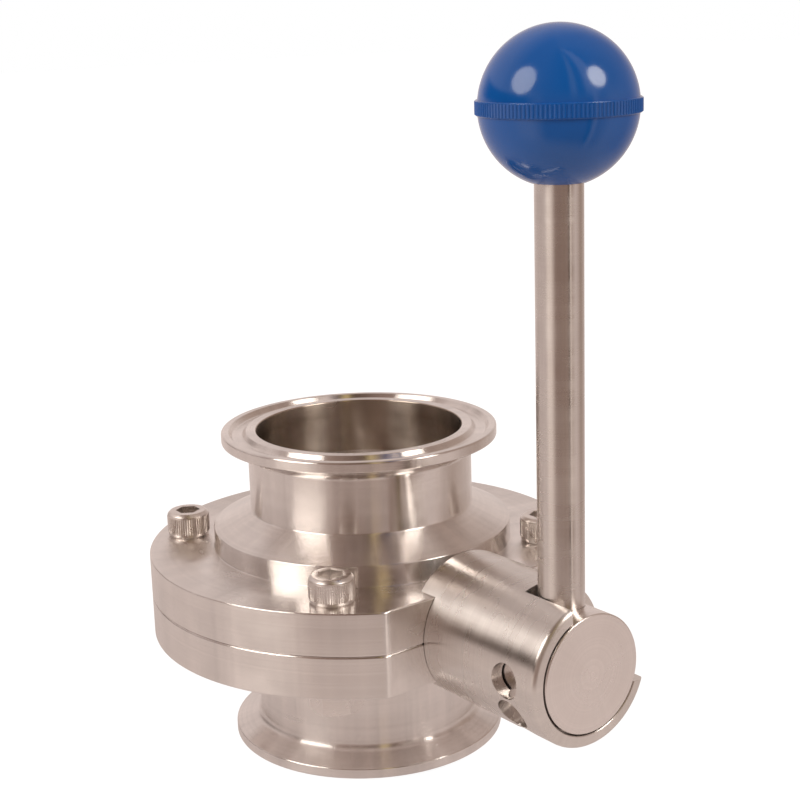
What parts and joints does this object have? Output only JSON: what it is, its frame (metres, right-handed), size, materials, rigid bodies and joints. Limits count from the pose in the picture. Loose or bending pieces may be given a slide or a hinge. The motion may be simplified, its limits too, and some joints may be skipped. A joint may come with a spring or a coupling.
{
  "type": "shutoff valve",
  "caption": "Stainless clamp-end butterfly shutoff valve with a bolted split body, a slotted lock sleeve and a sprung pull handle with a ball knob.",
  "frame": {"origin": "centre of the lower clamp face, on the waterway axis", "axes": "+Z along the waterway towards the upper clamp face, +X along the valve stem towards the handle; the pull rod stands along +Z when the valve is open"},
  "size_m": [0.1346, 0.1, 0.1649],
  "materials": {
    "body_steel": "turned and polished stainless steel",
    "sleeve_steel": "satin stainless steel",
    "rod_steel": "brushed stainless bar",
    "disc_steel": "fine ground stainless steel",
    "fastener_steel": "bright stainless fasteners",
    "spring_steel": "drawn spring wire",
    "seat_silicone": "moulded silicone",
    "oring_rubber": "moulded rubber",
    "bush_ptfe": "machined white PTFE",
    "knob_plastic": "glossy blue thermoset",
    "insert_brass": "turned brass"
  },
  "bodies": {
    "valve_body": {"lower_body": "body_steel", "upper_body": "body_steel", "seat_ring": "seat_silicone", "drive_bush": "bush_ptfe", "end_bush": "bush_ptfe", "clamp_screws": "fastener_steel", "clamp_nuts": "fastener_steel", "lock_sleeve": "sleeve_steel", "sleeve_screws": "fastener_steel", "thrust_washer": "bush_ptfe"},
    "handle_head": {"disc": "disc_steel", "stem_orings": "oring_rubber", "handle_head": "sleeve_steel", "stem_pin": "fastener_steel", "guide_plug": "fastener_steel", "handle_spring": "spring_steel"},
    "pull_rod": {"pull_rod": "rod_steel", "spring_seat": "fastener_steel", "circlip": "spring_steel", "ball_knob": "knob_plastic", "knob_insert": "insert_brass"}
  },
  "joints": [
    {"name": "handle_turn", "type": "hinge", "parent": "valve_body", "child": "handle_head", "pos_m": [0.0687, 0, 0.037], "axis": [-1, 0, 0], "range_deg": [0, 90]},
    {"name": "handle_pull", "type": "slide", "parent": "handle_head", "child": "pull_rod", "axis": [0, 0, 1], "range_m": [-0.0045, 0], "stiffness_N_per_m": 600, "springref_m": -0.02, "deforming": ["handle_spring"]}
  ]
}
